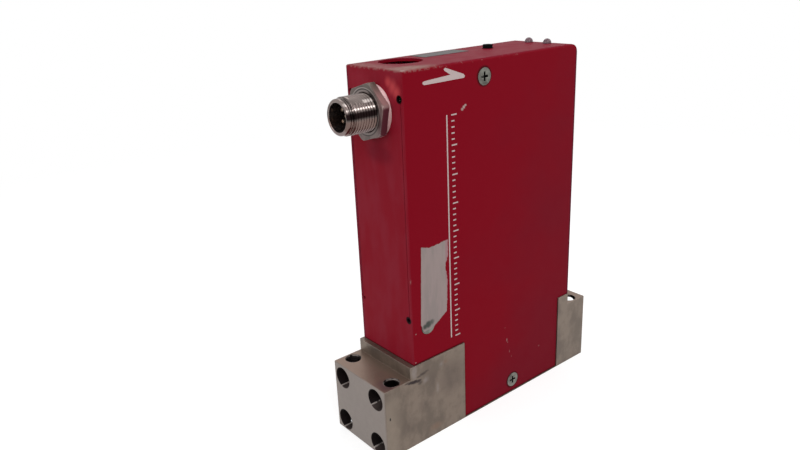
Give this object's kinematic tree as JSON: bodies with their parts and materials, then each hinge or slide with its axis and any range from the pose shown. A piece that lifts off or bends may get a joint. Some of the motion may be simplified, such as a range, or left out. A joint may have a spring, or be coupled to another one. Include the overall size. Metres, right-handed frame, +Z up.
{
  "type": "mass flow controller",
  "caption": "Upright gas flow controller: steel block with two low bolt flanges under a tall narrow red sheet case, with a threaded round connector high on the inlet end.",
  "frame": {"origin": "centre of the flow block's bottom face", "axes": "+X along the gas flow from the inlet with the connector to the outlet, +Z up, -Y the side with the arrow"},
  "size_m": [0.1057, 0.0286, 0.1305],
  "materials": {
    "block_steel": "milled stainless steel, faintly stained",
    "case_paint": "smooth red enamel with light scuffs and chips",
    "screw_steel": "bright zinc-plated steel",
    "nickel_plate": "satin nickel plate",
    "washer_fibre": "off-white flat seal",
    "black_plastic": "black moulded plastic",
    "contact_metal": "gold-plated contacts",
    "label_film": "grey-green label film",
    "label_paper": "torn white paper label",
    "spring_steel": "thin spring steel",
    "button_plastic": "black moulded button",
    "lamp_resin": "clear cast resin",
    "board_laminate": "green circuit board laminate",
    "capacitor_can": "aluminium can",
    "chassis_alloy": "milled aluminium",
    "seal_nickel": "soft nickel gasket",
    "coil_wire": "varnished heater wire",
    "piezo_ceramic": "coated piezo ceramic"
  },
  "bodies": {
    "housing": {"actuator_cap": "block_steel", "actuator_housing": "block_steel", "base_block": "block_steel", "board_chips": "black_plastic", "board_screws": "screw_steel", "bracket_screws": "screw_steel", "bypass_element": "block_steel", "capacitors": "capacitor_can", "case_cover": "case_paint", "chassis": "chassis_alloy", "chassis_screws": "screw_steel", "connector_insert": "black_plastic", "connector_nut": "nickel_plate", "connector_pins": "contact_metal", "connector_shell": "nickel_plate", "connector_washer": "washer_fibre", "cover_screws": "screw_steel", "driver_board": "board_laminate", "header_housing": "black_plastic", "header_pins": "contact_metal", "indicator_board": "board_laminate", "indicator_screws": "screw_steel", "led_spacers": "black_plastic", "main_board": "board_laminate", "piezo_stack": "piezo_ceramic", "sensor_base": "block_steel", "sensor_coils": "coil_wire", "sensor_housing": "chassis_alloy", "sensor_screws": "screw_steel", "sensor_seals": "seal_nickel", "sensor_tube": "block_steel", "side_label": "label_paper", "status_leds": "lamp_resin", "switch_body": "black_plastic", "switch_dome": "spring_steel", "top_label": "label_film", "upper_bracket": "chassis_alloy", "valve_body": "block_steel", "valve_diaphragm": "spring_steel", "valve_screws": "screw_steel", "valve_seat": "block_steel"},
    "zero_button": {"zero_button": "button_plastic"},
    "valve_plunger": {"valve_plunger": "block_steel"}
  },
  "joints": [
    {"name": "zero_press", "type": "slide", "parent": "housing", "child": "zero_button", "axis": [0, 0, -1], "range_m": [0, 0.00025], "stiffness_N_per_m": 800, "springref_m": -0.001},
    {"name": "valve_stroke", "type": "slide", "parent": "housing", "child": "valve_plunger", "axis": [0, 0, -1], "range_m": [0, 0.00005], "stiffness_N_per_m": 4000, "springref_m": -0.001}
  ]
}
